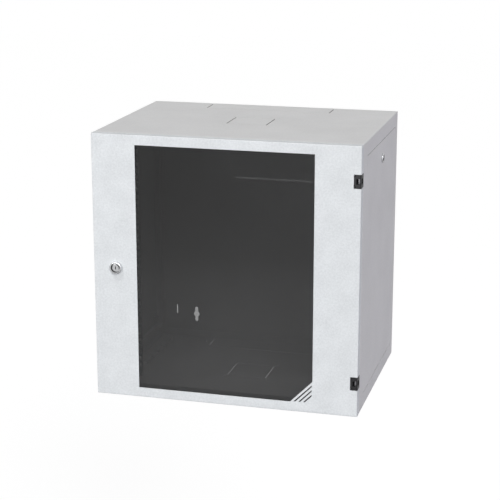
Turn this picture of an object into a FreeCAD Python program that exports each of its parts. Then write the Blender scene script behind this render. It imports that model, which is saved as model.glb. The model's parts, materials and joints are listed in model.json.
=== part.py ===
"""Wall mount network cabinet, 12 rack units, as a parametric assembly of separate pieces.

Millimetres. The origin is the middle of the face that goes against the wall, +X points right as seen
from the front, +Y into the wall and +Z up, so the whole cabinet lies at y = 0 and below.
"""
import FreeCAD, Part
import Sketcher
import math
import os
import re

os.makedirs("parts", exist_ok=True)
doc = FreeCAD.newDocument("network_cabinet")

# ---------------------------------------------------------------- driving dimensions
SIZES = {
    "width": 600,                     # overall width
    "height": 600,                    # overall height
    "body_depth": 427,                # welded body, from the wall to the plane behind the door
    "sheet": 1.5,                     # steel sheet of body, door and side panels
    "door_gap": 3,                    # between the door's rear and the body's front
    "door_depth": 20,                 # door tray
    "bend_radius": 1.2,               # outer radius of the body's folded edges
    "flange_gap": 0.2,                # between two flanges that meet in a corner

    "front_flange": 30,               # side frame's flange round the door opening
    "rear_flange": 18,                # side frame's flange that carries the back panel
    "top_flange": 15,                 # side frame's flanges under the top and over the bottom panel
    "panel_front_flange": 23.5,       # front flange of the top and bottom panels
    "panel_rear_flange": 15,          # rear flange of the top and bottom panels
    "side_open_front": 42,            # from the body's front to the side opening
    "side_open_rear": 25,             # from the wall to the side opening
    "side_open_edge": 32,             # above and below the side opening
    "jamb_depth": 16,                 # folded wall round the side opening
    "lip_width": 10,                  # stop lip behind the side opening

    "slit": 2,                        # width of the slits round a knock-out
    "bridge": 3,                      # metal left between two slits
    "mid_entry_width": 92,            # middle knock-out
    "mid_entry_depth": 89,
    "mid_entry_rear": 174,            # from the wall
    "rear_entry_width": 298,          # rear knock-out
    "rear_entry_depth": 58,
    "rear_entry_rear": 11,            # from the wall
    "rear_entry_third": 50,           # bridges at both sides of the middle
    "fan_pitch": 105,                 # fixing holes of a 120 mm fan
    "fan_hole_radius": 2.25,
    "brush_hole_side": 14,            # fixing holes beside the rear knock-out
    "brush_hole_rear": 37,            # from the wall
    "brush_hole_radius": 2.5,
    "louvre_count": 9,                # louvres in each row of the bottom
    "louvre_pitch": 41,
    "louvre_front": 30,               # from the body's front
    "louvre_gap": 1,                  # between the louvres and the rails' outer sides
    "louvre_length": 30,
    "louvre_width": 12,
    "louvre_rise": 6,
    "louvre_slope": 3,                # run of a louvre's steep closed side

    "keyhole_span_x": 400,            # wall fixing keyholes
    "keyhole_span_z": 480,
    "keyhole_slot_radius": 4,
    "keyhole_slot_length": 38,
    "keyhole_radius": 7.5,
    "tie_slot_span_x": 502,           # cable tie slots beside the keyholes
    "tie_slot_span_z": 460,
    "tie_slot_width": 3,
    "tie_slot_length": 22,

    "rack_unit": 44.45,               # height of one rack unit
    "rack_headroom": 60,              # height of the cabinet that is left beside the rack units
    "rack_hole_inset": 7.55,          # square holes from the rail's inner side
    "rack_hole": 9.5,                 # square hole for a cage nut
    "rack_hole_low": 6.35,            # the three holes of a unit, from its lower edge
    "rack_hole_mid": 22.225,
    "rack_hole_high": 38.1,
    "rail_set_back": 77,              # from the body's front to the rails' face
    "rail_side": 75,                  # from the cabinet's side to a rail's inner side
    "rail_width": 37,
    "rail_depth": 40,
    "rail_return": 12,
    "rail_sheet": 2,
    "rail_end_gap": 12.5,             # rails stop short of the cabinet's top and bottom
    "bracket_set_back": 12,           # from the body's front to the rail brackets
    "bracket_depth": 120,
    "bracket_drop": 40,
    "bracket_gap": 1,                 # between a bracket and the side frame's flange
    "bracket_slot_end": 10,           # from the bracket's end to its slot
    "bolt_drop": 26,                  # rail bolts below the top panel's sheet
    "bolt_spacing": 16,
    "bolt_radius": 3,
    "bolt_length": 15,
    "bolt_flats": 10,                 # across the flats of an M6 head and nut
    "bolt_head": 4,
    "bolt_nut": 5,
    "bolt_clearance": 0.15,           # between a bolt and its hole

    "window_side": 100,               # door border beside the window
    "window_edge": 22,                # door border above and below the window
    "corner_leg": 50,                 # slanted lower right corner of the window
    "trim_slot_width": 3,             # slots along that corner
    "trim_slot_first": 6.1,           # from the slant to the first slot's middle
    "trim_slot_pitch": 7.6,
    "trim_slot_margin": 1.5,          # from the slots' ends to the window's lines
    "door_radius": 2,                 # outer radius of the door's folded edges
    "door_return": 12,                # flange along the door's rear
    "glass_lap_side": 12,             # glass beyond the window at the sides
    "glass_lap_edge": 6,              # glass beyond the window at top and bottom
    "glass_thickness": 4,
    "seal_thickness": 1,
    "seal_show": 2,                   # from the window's edge to the seal
    "retainer_sheet": 1.5,
    "retainer_foot": 5,               # retainer on the glass
    "retainer_gap": 1.5,              # from the glass edge to the retainer's wall
    "retainer_room": 0.5,             # between the end retainers and the folded edge
    "nut_room": 0.45,                 # round a nut on its retainer
    "retainer_end": 16,               # side retainers stop short of the window's corners
    "stud_radius": 2,                 # M4 weld studs
    "stud_length": 8,
    "stud_hole_radius": 2.15,
    "stud_inset": 26,                 # from a retainer's end to its first stud
    "side_stud_count": 4,
    "end_stud_count": 3,
    "leaf_stud_count": 2,
    "nut_flats": 7,
    "nut_height": 3.2,
    "bumper_radius": 4.5,
    "bumper_inset": 7,                # from the body's side
    "bumper_drop": 30,                # from the body's top and bottom
    "bumper_squeeze": 0.3,            # left between bumper and door

    "hinge_axis_side": 7,             # from the door's side to the hinge axis
    "hinge_axis_front": 10,           # from the door's front to the hinge axis
    "hinge_spread": 448,              # between the two hinges
    "hinge_height": 29,
    "hinge_window": 12,               # open middle of the hinge, where the pin shows
    "hinge_ear": 4.3,
    "hinge_run": 0.2,                 # end play at each knuckle
    "hinge_inner": 8,                 # from the axis to the block's inner side
    "hinge_flush": 0.2,               # block behind the door's front and side
    "hinge_corner": 3,                # rounded front corners of the block
    "hinge_block_rear": 5,            # from the axis to the block's rear
    "hinge_window_half": 4.3,         # from the axis to the front window's sides
    "hinge_window_front": 3.8,        # from the block's front to its side window
    "hinge_notch_side": 1.5,          # door notch beyond the block
    "hinge_notch_end": 0.75,          # door notch above and below the block
    "hinge_pin_radius": 2,
    "hinge_pin_over": 0.6,            # pin beyond the ears
    "hinge_pin_bevel": 0.35,
    "running_clearance": 0.05,
    "hinge_base": 1.5,                # bracket plate on the body
    "hinge_base_reach": 21,           # from the axis inwards
    "hinge_screw_inset": 5.5,         # from the bracket plate's inner end
    "hinge_screw_spread": 16,
    "screw_radius": 2,                # M4 countersunk screws
    "screw_head_radius": 3.5,
    "screw_head": 1.4,
    "screw_length": 8,
    "leaf_plate": 3,                  # leaf behind the door sheet
    "leaf_reach": 31,                 # from the axis inwards
    "leaf_start": 13,                 # from the axis to the leaf's plate
    "leaf_stud_inset": 7,             # from the leaf's inner end

    "lock_side": 52,                  # from the door's side to the lock axis
    "lock_collar_radius": 14,
    "lock_collar_proud": 7,
    "lock_barrel_radius": 9.5,
    "lock_plug_radius": 7.5,
    "lock_nut_flats": 24,
    "lock_nut_height": 5,
    "lock_reach": 30,
    "side_lock_drop": 40,             # from the side opening's upper edge to the lock axis
    "side_lock_collar_radius": 10,
    "side_lock_collar_proud": 4,
    "side_lock_barrel_radius": 7.5,
    "side_lock_plug_radius": 5.5,
    "side_lock_nut_flats": 19,
    "side_lock_nut_height": 4,
    "side_lock_reach": 38,
    "lock_sink": 1.5,                 # plug face below the collar's rim
    "lock_rim": 1.4,                  # width of the rim's slopes
    "lock_end_play": 0.3,             # between barrel and cam
    "cam_clearance": 1,               # between a cam and the sheet that it catches
    "cam_thickness": 2,
    "cam_half_width": 7,
    "cam_corner": 3,
    "cam_square": 6,                  # square tail of the plug
    "key_slot_width": 1.8,
    "key_slot_length": 7,
    "key_slot_depth": 6,
    "cam_screw_radius": 1.5,
    "cam_screw_head_radius": 5,
    "cam_screw_head": 2,
    "cam_screw_length": 6,

    "panel_gap": 1,                   # round a side panel
    "panel_flange": 12,               # folded edge of a side panel
    "tab_inset": 8.5,                 # from the panel's face to its foot tabs
    "tab_width": 30,
    "tab_length": 8,
    "tab_spread": 220,
    "tab_slot_side": 0.5,             # slot beyond the tab, outwards and at both ends
    "tab_slot_inner": 3.7,            # slot beyond the tab, inwards, for tilting
    "earth_inset": 18,                # from the panel's rear edge to the earth stud
    "earth_rise": 25,                 # from the panel's lower edge to the earth stud
    "earth_radius": 3,
    "earth_length": 10,
}
sizes = doc.addObject("Spreadsheet::Sheet", "sizes")
for row, (name, number) in enumerate(SIZES.items(), start=1):
    sizes.set(f"A{row}", name)
    sizes.set(f"B{row}", str(number))
    sizes.setAlias(f"B{row}", name)
doc.recompute()

# Reads what a formula on the sheet comes to.
gauge = doc.addObject("App::VarSet", "gauge")
gauge.addProperty("App::PropertyFloat", "reading")

SIDES = {"left": -1, "right": 1}
ENDS = {"upper": 1, "lower": -1}

# Lines and planes that several pieces share, each worked out from the sheet.
DOOR_REAR = "(body_depth+door_gap)"                      # in front of the wall
DOOR_FRONT = "(body_depth+door_gap+door_depth)"
SHEET_EDGE = "(height/2-sheet)"                          # upper end of side frames and back panel
OPEN_TOP = "(height/2-side_open_edge)"                   # upper edge of the side opening
OPEN_MIDDLE = "(body_depth-side_open_front+side_open_rear)/2"
WINDOW_X = "(width/2-window_side)"
WINDOW_Z = "(height/2-window_edge)"
GLASS_X = f"({WINDOW_X}+glass_lap_side)"
GLASS_Z = f"({WINDOW_Z}+glass_lap_edge)"
RAIL_FACE = "(body_depth-rail_set_back)"
RAIL_INNER = "(width/2-rail_side)"
RAIL_OUTER = f"({RAIL_INNER}+rail_width)"                # outer side of a rail's web
RAIL_END = "(height/2-rail_end_gap)"
RACK_UNITS = "floor((height-rack_headroom)/rack_unit)"
BRACKET_FRONT = "(body_depth-bracket_set_back)"
BOLT_Z = f"({SHEET_EDGE}-bolt_drop)"
BOLT_Y = f"({RAIL_FACE}-rail_depth/2)"
HINGE_X = "(width/2-hinge_axis_side)"
HINGE_Y = f"({DOOR_FRONT}-hinge_axis_front)"
PANEL_Z = f"({OPEN_TOP}-panel_gap)"
PANEL_FRONT = "(body_depth-side_open_front-panel_gap)"
PANEL_REAR = "(side_open_rear+panel_gap)"
SIDE_LOCK_Z = f"({OPEN_TOP}-side_lock_drop)"


# ---------------------------------------------------------------- helpers
def bound(formula):
    """The formula as an expression on the sheet."""
    return re.sub("[a-z_]+", lambda word: f"sizes.{word[0]}" if word[0] in SIZES else word[0], formula)


def value(formula):
    """The formula's present value."""
    gauge.setExpression("reading", bound(formula))
    gauge.recompute()
    return gauge.reading


def new_body(label):
    body = doc.addObject("PartDesign::Body", label)
    body.Label = label
    return body


def origin_part(body, role):
    return next(item for item in body.Origin.OriginFeatures if item.Role == role)


def new_sketch(body, name, plane, height="0"):
    """A sketch on one of the body's own origin planes, lifted along that plane's normal."""
    sketch = body.newObject("Sketcher::SketchObject", name)
    sketch.AttachmentSupport = [(origin_part(body, plane), "")]
    sketch.MapMode = "FlatFace"
    sketch.AttachmentOffset = FreeCAD.Placement()
    sketch.setExpression("AttachmentOffset.Base.z", bound(height))
    return sketch


def locate(sketch, geometry, vertex, place):
    """Tie one vertex of a sketch to its two formulas."""
    for kind, formula in zip(("DistanceX", "DistanceY"), place):
        index = sketch.addConstraint(Sketcher.Constraint(kind, -1, 1, geometry, vertex, value(formula)))
        sketch.setExpression(f"Constraints[{index}]", bound(formula))


def outline(*places):
    """A closed outline of straight lines through the given places."""
    def draw(sketch):
        points = [FreeCAD.Vector(value(u), value(v), 0) for u, v in places]
        lines = [Part.LineSegment(points[i - 1], points[i]) for i in range(len(points))]
        ids = sketch.addGeometry(lines, False)
        for i, line in enumerate(ids):
            sketch.addConstraint(Sketcher.Constraint("Coincident", ids[i - 1], 2, line, 1))
            locate(sketch, line, 2, places[i])
    return draw


def rectangle(u_low, u_high, v_low, v_high):
    return outline((u_low, v_low), (u_high, v_low), (u_high, v_high), (u_low, v_high))


def centred(u, v, half_width, half_height):
    """A rectangle about a centre."""
    return rectangle(f"{u}-({half_width})", f"{u}+({half_width})",
                     f"{v}-({half_height})", f"{v}+({half_height})")


def circle(u, v, radius):
    def draw(sketch):
        shape = Part.Circle(FreeCAD.Vector(value(u), value(v), 0), FreeCAD.Vector(0, 0, 1), value(radius))
        index = sketch.addGeometry(shape, False)
        locate(sketch, index, 3, (u, v))
        size = sketch.addConstraint(Sketcher.Constraint("Radius", index, value(radius)))
        sketch.setExpression(f"Constraints[{size}]", bound(radius))
    return draw


def slot(u, v, half_run, radius, upright=True):
    """A slot with round ends; half_run goes from its middle to the centre of an end."""
    def draw(sketch):
        if upright:
            corners = [(f"{u}+{i}*({radius})", f"{v}+{j}*({half_run})") for i, j in CORNERS]
            centres = [(u, f"{v}+({half_run})"), (u, f"{v}-({half_run})")]
        else:
            corners = [(f"{u}+{j}*({half_run})", f"{v}-{i}*({radius})") for i, j in CORNERS]
            centres = [(f"{u}+({half_run})", v), (f"{u}-({half_run})", v)]
        points = [FreeCAD.Vector(value(a), value(b), 0) for a, b in corners]
        ids = []
        for side, centre in enumerate(centres):
            first, second = points[2 * side], points[2 * side + 1]
            middle = FreeCAD.Vector(value(centre[0]), value(centre[1]), 0)
            begin = (0 if upright else -90) + 180 * side
            arc = Part.ArcOfCircle(Part.Circle(middle, FreeCAD.Vector(0, 0, 1), value(radius)),
                                   math.radians(begin), math.radians(begin + 180))
            ids += sketch.addGeometry([Part.LineSegment(first, second), arc], False)
        for i, edge in enumerate(ids):
            sketch.addConstraint(Sketcher.Constraint("Coincident", ids[i - 1], 2, edge, 1))
        for side, centre in enumerate(centres):
            line, arc = ids[2 * side], ids[2 * side + 1]
            locate(sketch, line, 1, corners[2 * side])
            locate(sketch, line, 2, corners[2 * side + 1])
            kind, formula = ("DistanceY", centre[1]) if upright else ("DistanceX", centre[0])
            index = sketch.addConstraint(Sketcher.Constraint(kind, -1, 1, arc, 3, value(formula)))
            sketch.setExpression(f"Constraints[{index}]", bound(formula))
    return draw


def hexagon(u, v, flats):
    """A hexagon with two flats parallel to the sketch's second axis."""
    half, corner = f"({flats})/2", f"({flats})/2/cos(30)"
    return outline(*[(f"{u}+{i}*{half}", f"{v}+{j}*{corner}")
                     for i, j in ((1, -0.5), (1, 0.5), (0, 1), (-1, 0.5), (-1, -0.5), (0, -1))])


CORNERS = ((1, -1), (1, 1), (-1, 1), (-1, -1))
PLANES = {"X": ("YZ_Plane", 1), "Y": ("XZ_Plane", -1), "Z": ("XY_Plane", 1)}


def extrude(body, name, axis, start, length, drawings, cut=False):
    """Pad or pocket the drawings from start, towards the axis's plus end."""
    plane, sense = PLANES[axis]
    sketch = new_sketch(body, f"{body.Name}_{name}_sketch", plane, f"{sense}*({start})")
    for draw in drawings:
        draw(sketch)
    before = body.Shape.Volume if cut else None
    feature = body.newObject("PartDesign::Pocket" if cut else "PartDesign::Pad", f"{body.Name}_{name}")
    feature.Profile = sketch
    feature.setExpression("Length", bound(length))
    feature.Reversed = (sense < 0) != cut
    doc.recompute()
    if cut and not feature.Shape.Volume < before:
        raise ValueError(f"{feature.Name} cuts nothing")
    return feature


def cut(body, name, axis, start, length, drawings):
    return extrude(body, name, axis, start, length, drawings, cut=True)


def revolve(body, name, places):
    """Turn a closed half outline (radius, height) about the body's Z axis."""
    sketch = new_sketch(body, f"{body.Name}_{name}_sketch", "XZ_Plane")
    outline(*places)(sketch)
    feature = body.newObject("PartDesign::Revolution", f"{body.Name}_{name}")
    feature.Profile = sketch
    feature.ReferenceAxis = (origin_part(body, "Z_Axis"), [""])
    feature.Angle = 360
    doc.recompute()
    return feature


def repeat(body, name, originals, axis, length, count):
    """A row of copies of the originals along one of the body's axes."""
    pattern = body.newObject("PartDesign::LinearPattern", f"{body.Name}_{name}")
    pattern.Originals = originals
    pattern.Direction = (origin_part(body, f"{axis}_Axis"), [""])
    pattern.setExpression("Length", bound(length))
    pattern.setExpression("Occurrences", bound(count))
    body.Tip = pattern
    doc.recompute()
    return pattern


def row(body, name, axis, start, length, drawings, run_axis, run, count):
    """An extrusion and its copies in a row."""
    first = extrude(body, name, axis, start, length, drawings)
    repeat(body, f"{name}_row", [first], run_axis, run, count)


def soften(body, name, radius, chosen, kind="Fillet"):
    """Round or bevel the edges that the test chooses."""
    base = body.Tip
    edges = [f"Edge{i}" for i, edge in enumerate(base.Shape.Edges, start=1) if chosen(edge)]
    feature = body.newObject(f"PartDesign::{kind}", f"{body.Name}_{name}")
    feature.Base = (base, edges)
    feature.setExpression("Radius" if kind == "Fillet" else "Size", bound(radius))
    doc.recompute()
    return feature


def near(one, other):
    return abs(one - other) < 1e-4


def along(edge, axis):
    """Whether an edge is straight and runs along the axis."""
    box = edge.BoundBox
    lengths = {"X": box.XLength, "Y": box.YLength, "Z": box.ZLength}
    return edge.Curve.TypeId == "Part::GeomLine" and near(lengths[axis], edge.Length)


def place(body, x="0", y="0", z="0", turn=None):
    """Put a body made about its own origin where it belongs."""
    if turn:
        body.Placement = FreeCAD.Placement(FreeCAD.Vector(), turn)
    for letter, formula in zip("xyz", (x, y, z)):
        body.setExpression(f"Placement.Base.{letter}", bound(formula))


def layers(body, axis, extent, sign):
    """A maker of layers that lie between two depths below one outer face of the cabinet."""
    def layer(name, low, high, drawings, tool=extrude):
        start = f"{extent}/2-({high})" if sign > 0 else f"-{extent}/2+({low})"
        return tool(body, name, axis, start, f"({high})-({low})", drawings)
    return layer


# ---------------------------------------------------------------- welded body
def build_side_frame(hand):
    """Side of the body: a skin with flanges all round and a folded jamb about its opening."""
    body = new_body(f"side_frame_{hand}")
    slab = layers(body, "X", "width", SIDES[hand])
    middle_y, half_open_y = f"-{OPEN_MIDDLE}", "(body_depth-side_open_front-side_open_rear)/2"
    opening = centred(middle_y, "0", half_open_y, OPEN_TOP)
    round_opening = centred(middle_y, "0", f"{half_open_y}+sheet", f"{OPEN_TOP}+sheet")
    full_height = (f"-{SHEET_EDGE}", SHEET_EDGE)
    slab("skin", "0", "sheet", [rectangle("-body_depth", "0", *full_height), opening])
    slab("jamb", "0", "jamb_depth", [round_opening, opening])
    slab("lip", "jamb_depth", "jamb_depth+sheet",
         [round_opening, centred(middle_y, "0", f"{half_open_y}-lip_width", f"{OPEN_TOP}-lip_width")])
    slab("front_flange", "0", "front_flange", [rectangle("-body_depth", "-body_depth+sheet", *full_height)])
    slab("rear_flange", "sheet", "rear_flange", [rectangle("-2*sheet", "-sheet", *full_height)])
    for end, up in ENDS.items():
        slab(f"{end}_flange", "sheet", "top_flange",
             [rectangle("-body_depth+sheet", "-2*sheet", f"{up}*{SHEET_EDGE}", f"{up}*({SHEET_EDGE}-sheet)")])
    slab("tab_slots", "tab_inset-tab_slot_side", "tab_inset+sheet+tab_slot_inner",
         [centred(f"{middle_y}+{i}*tab_spread/2", f"-{OPEN_TOP}-sheet/2",
                  "tab_width/2+tab_slot_side", "sheet/2") for i in (-1, 1)], cut)
    if hand == "right":
        holes = [circle(f"{HINGE_X}-hinge_base_reach+hinge_screw_inset",
                        f"{up}*hinge_spread/2+{i}*hinge_screw_spread/2", "screw_radius+bolt_clearance")
                 for up in ENDS.values() for i in (-1, 1)]
        cut(body, "hinge_holes", "Y", "-body_depth", "sheet", holes)
    soften(body, "fold", "bend_radius",
           lambda edge: along(edge, "Z") and near(edge.BoundBox.YMin, value("-body_depth"))
           and near(abs(edge.BoundBox.XMin), value("width/2")))


def slits(middle_y, across, deep, splits):
    """The slits round a knock-out, whose corners and splits stay joined by bridges."""
    drawings = [centred(f"{i}*{across}/2", middle_y, "slit/2", f"{deep}/2-bridge") for i in (-1, 1)]
    stops = [f"-{across}/2+bridge/2", *splits, f"{across}/2-bridge/2"]
    for i in (-1, 1):
        line = f"{middle_y}+{i}*{deep}/2"
        drawings += [rectangle(f"{low}+bridge/2", f"{high}-bridge/2", f"{line}-slit/2", f"{line}+slit/2")
                     for low, high in zip(stops, stops[1:])]
    return drawings


def add_louvres(body, hand):
    """A row of hoods over openings in the bottom, steep towards the middle and open towards the side."""
    side = SIDES[hand]
    mouth = f"({RAIL_OUTER}-louvre_gap)"
    closed = f"({mouth}-louvre_width)"
    floor, inner = "-height/2", "(-height/2+sheet)"
    hood = outline(*[(f"{side}*{x}", z) for x, z in (
        (closed, inner), (mouth, inner), (mouth, f"{inner}+louvre_rise"),
        (f"({closed}+louvre_slope)", f"{inner}+louvre_rise"))])
    hollow = outline(*[(f"{side}*{x}", z) for x, z in (
        (f"({closed}+2*sheet)", floor), (mouth, floor), (mouth, f"{inner}+louvre_rise-sheet"),
        (f"({closed}+louvre_slope+sheet)", f"{inner}+louvre_rise-sheet"), (f"({closed}+2*sheet)", inner))])
    pad = extrude(body, f"{hand}_hood", "Y", "-body_depth+louvre_front", "louvre_length", [hood])
    pocket = cut(body, f"{hand}_mouth", "Y", "-body_depth+louvre_front+sheet", "louvre_length-2*sheet",
                 [hollow])
    repeat(body, f"{hand}_row", [pad, pocket], "Y", "(louvre_count-1)*louvre_pitch", "louvre_count")


def build_deck(label, end):
    """Top or bottom panel: a sheet with a flange at the front and the rear and two knock-outs."""
    up = ENDS[end]
    body = new_body(label)
    layer = layers(body, "Z", "height", up)
    front_half = "width/2-front_flange-flange_gap"
    rear_half = "width/2-rear_flange-flange_gap"
    layer("sheet", "0", "sheet", [rectangle("-width/2", "width/2", "-body_depth", "0")])
    layer("front_flange", "sheet", "sheet+panel_front_flange",
          [rectangle(f"-({front_half})", front_half, "-body_depth", "-body_depth+sheet")])
    layer("rear_flange", "sheet", "sheet+panel_rear_flange",
          [rectangle(f"-({rear_half})", rear_half, "-2*sheet", "-sheet")])
    mid_y = "-(mid_entry_rear+mid_entry_depth/2)"
    rear_y = "-(rear_entry_rear+rear_entry_depth/2)"
    holes = [circle(f"{i}*fan_pitch/2", f"{mid_y}+{j}*fan_pitch/2", "fan_hole_radius") for i, j in CORNERS]
    holes += [circle(f"{i}*(rear_entry_width/2+brush_hole_side)", "-brush_hole_rear", "brush_hole_radius")
              for i in (-1, 1)]
    layer("mid_entry", "0", "sheet", slits(mid_y, "mid_entry_width", "mid_entry_depth", ["0"]), cut)
    layer("rear_entry", "0", "sheet",
          slits(rear_y, "rear_entry_width", "rear_entry_depth", ["-rear_entry_third", "rear_entry_third"]),
          cut)
    layer("holes", "0", "sheet", holes, cut)
    if up < 0:
        for hand in SIDES:
            add_louvres(body, hand)
    outer = value(f"{up}*height/2")
    soften(body, "folds", "bend_radius",
           lambda edge: near(edge.BoundBox.ZMin, outer) and near(edge.BoundBox.ZMax, outer)
           and (along(edge, "Y") and near(abs(edge.BoundBox.XMin), value("width/2"))
                or along(edge, "X") and near(edge.BoundBox.YMin, value("-body_depth"))))


def build_back_panel():
    """Back panel with four double-ended keyholes for the wall fixings."""
    body = new_body("back_panel")
    half_x = "(width/2-sheet)"
    extrude(body, "sheet", "Y", "-sheet", "sheet",
            [rectangle(f"-{half_x}", half_x, f"-{SHEET_EDGE}", SHEET_EDGE)])
    places = [(f"{i}*keyhole_span_x/2", f"{j}*keyhole_span_z/2") for i, j in CORNERS]
    cut(body, "keyhole_slots", "Y", "-sheet", "sheet",
        [slot(u, v, "keyhole_slot_length/2-keyhole_slot_radius", "keyhole_slot_radius") for u, v in places])
    cut(body, "keyholes", "Y", "-sheet", "sheet", [circle(u, v, "keyhole_radius") for u, v in places])
    cut(body, "tie_slots", "Y", "-sheet", "sheet",
        [centred(f"{i}*tie_slot_span_x/2", f"{j}*tie_slot_span_z/2", "tie_slot_width/2", "tie_slot_length/2")
         for i, j in CORNERS])


def build_bumpers():
    """Rubber bumpers on the closing side of the door opening."""
    body = new_body("door_bumpers")
    places = [circle("-(width/2-bumper_inset)", f"{up}*(height/2-bumper_drop)", "bumper_radius")
              for up in ENDS.values()]
    extrude(body, "pads", "Y", "-body_depth-door_gap+bumper_squeeze", "door_gap-bumper_squeeze", places)


# ---------------------------------------------------------------- rack rails
def build_rail(hand):
    """Vertical 19 inch rail: a folded channel with three square holes in each rack unit."""
    side = SIDES[hand]
    body = new_body(f"rack_rail_{hand}")
    inner, outer = f"{side}*{RAIL_INNER}", f"{side}*{RAIL_OUTER}"
    inside, folded = f"{side}*({RAIL_OUTER}-rail_sheet)", f"{side}*({RAIL_OUTER}-rail_return)"
    face, behind = f"-{RAIL_FACE}", f"-{RAIL_FACE}+rail_depth"
    extrude(body, "channel", "Z", f"-{RAIL_END}", f"2*{RAIL_END}",
            [outline((inner, face), (outer, face), (outer, behind), (folded, behind),
                     (folded, f"{behind}-rail_sheet"), (inside, f"{behind}-rail_sheet"),
                     (inside, f"{face}+rail_sheet"), (inner, f"{face}+rail_sheet"))])
    unit = cut(body, "unit_holes", "Y", face, "rail_sheet",
               [centred(f"{side}*({RAIL_INNER}+rack_hole_inset)", f"-{RACK_UNITS}*rack_unit/2+{level}",
                        "rack_hole/2", "rack_hole/2")
                for level in ("rack_hole_low", "rack_hole_mid", "rack_hole_high")])
    repeat(body, "units", [unit], "Z", f"({RACK_UNITS}-1)*rack_unit", RACK_UNITS)
    cut(body, "bolt_holes", "X", inside if side > 0 else outer, "rail_sheet",
        [circle(y, z, "bolt_radius+bolt_clearance") for y, z in bolt_places()])


def bolt_places():
    """The four bolts that hold one rail, as places on its web."""
    return [(f"-{BOLT_Y}+{i}*bolt_spacing/2", f"{j}*{BOLT_Z}") for i, j in CORNERS]


def build_rail_bracket(end, hand):
    """Angle under the top or over the bottom panel, slotted so that its rail can be set back."""
    side, up = SIDES[hand], ENDS[end]
    body = new_body(f"rail_bracket_{end}_{hand}")
    web, leg = f"{side}*{RAIL_OUTER}", f"{side}*(width/2-top_flange-bracket_gap)"
    thick = f"{side}*({RAIL_OUTER}+rail_sheet)"
    panel, low = f"{up}*{SHEET_EDGE}", f"{up}*({SHEET_EDGE}-bracket_drop)"
    step = f"{up}*({SHEET_EDGE}-rail_sheet)"
    extrude(body, "angle", "Y", f"-{BRACKET_FRONT}", "bracket_depth",
            [outline((web, low), (thick, low), (thick, step), (leg, step), (leg, panel), (web, panel))])
    cut(body, "slot", "X", web if side > 0 else thick, "rail_sheet",
        [slot(f"-{BRACKET_FRONT}+bracket_depth/2", f"{up}*{BOLT_Z}",
              "bracket_depth/2-bracket_slot_end-bolt_radius-bolt_clearance", "bolt_radius+bolt_clearance",
              upright=False)])


def build_rail_fasteners():
    """Bolts through the rails' webs and their brackets, and the nuts behind the brackets."""
    bolts = new_body("rail_bolts")
    nuts = new_body("rail_nuts")
    for hand, side in SIDES.items():
        places = bolt_places()
        head = f"{RAIL_OUTER}-rail_sheet"
        nut = f"{RAIL_OUTER}+rail_sheet"
        starts = (f"{head}-bolt_head", head, nut) if side > 0 else (
            f"-({head})", f"-({head})-bolt_length", f"-({nut})-bolt_nut")
        hexagons = [hexagon(y, z, "bolt_flats") for y, z in places]
        extrude(bolts, f"heads_{hand}", "X", starts[0], "bolt_head", hexagons)
        extrude(bolts, f"shanks_{hand}", "X", starts[1], "bolt_length",
                [circle(y, z, "bolt_radius") for y, z in places])
        extrude(nuts, f"nuts_{hand}", "X", starts[2], "bolt_nut",
                hexagons + [circle(y, z, "bolt_radius+running_clearance") for y, z in places])


# ---------------------------------------------------------------- door
SHEET_REAR = f"(-{DOOR_FRONT}+sheet)"                                 # rear face of the door's sheet
GLASS_REAR = f"({SHEET_REAR}+seal_thickness+glass_thickness)"
NUT_CORNER = "(nut_flats/2/cos(30)+nut_room)"


def trim_slot(index):
    """One of the slots along the window's slanted corner, where x - z stays the same."""
    first = f"({WINDOW_X}+{WINDOW_Z}-corner_leg+(trim_slot_first+{index}*trim_slot_pitch)*sqrt(2))"
    low, high = (f"({first}+{i}*trim_slot_width/2*sqrt(2))" for i in (-1, 1))
    end_x, end_z = f"({WINDOW_X}-trim_slot_margin)", f"(-{WINDOW_Z}+trim_slot_margin)"
    return outline((end_x, f"{end_x}-{low}"), (end_x, f"{end_x}-{high}"),
                   (f"{end_z}+{high}", end_z), (f"{end_z}+{low}", end_z))


def build_door_frame():
    """Door tray: one folded sheet with the window, its slanted corner and the hinge notches."""
    body = new_body("door_frame")
    front = f"-{DOOR_FRONT}"
    extrude(body, "tray", "Y", front, "door_depth", [centred("0", "0", "width/2", "height/2")])
    soften(body, "folds", "door_radius",
           lambda edge: near(edge.BoundBox.YMax, value(front)))
    cut(body, "hollow", "Y", f"{front}+sheet", "door_depth-2*sheet",
        [centred("0", "0", "width/2-sheet", "height/2-sheet")])
    cut(body, "rear", "Y", f"-{DOOR_REAR}-sheet", "sheet",
        [centred("0", "0", "width/2-door_return", "height/2-door_return")])
    cut(body, "window", "Y", front, "sheet",
        [outline((f"-{WINDOW_X}", f"-{WINDOW_Z}"), (f"{WINDOW_X}-corner_leg", f"-{WINDOW_Z}"),
                 (WINDOW_X, f"-{WINDOW_Z}+corner_leg"), (WINDOW_X, WINDOW_Z), (f"-{WINDOW_X}", WINDOW_Z))])
    cut(body, "trim_slots", "Y", front, "sheet", [trim_slot(index) for index in (0, 1, 2)])
    cut(body, "lock_hole", "Y", front, "sheet",
        [circle("-(width/2-lock_side)", "0", "lock_barrel_radius+running_clearance")])
    cut(body, "hinge_notches", "Y", front, "door_depth",
        [rectangle(f"{HINGE_X}-hinge_inner-hinge_notch_side", "width/2",
                   f"{up}*hinge_spread/2-hinge_height/2-hinge_notch_end",
                   f"{up}*hinge_spread/2+hinge_height/2+hinge_notch_end") for up in ENDS.values()])


def build_glazing():
    """Tinted pane and the foam tape between it and the door sheet."""
    glass = new_body("glass_pane")
    edge = centred("0", "0", GLASS_X, GLASS_Z)
    extrude(glass, "pane", "Y", f"{SHEET_REAR}+seal_thickness", "glass_thickness", [edge])
    seal = new_body("glass_seal")
    extrude(seal, "tape", "Y", SHEET_REAR, "seal_thickness",
            [edge, centred("0", "0", f"{WINDOW_X}+seal_show", f"{WINDOW_Z}+seal_show")])


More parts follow.
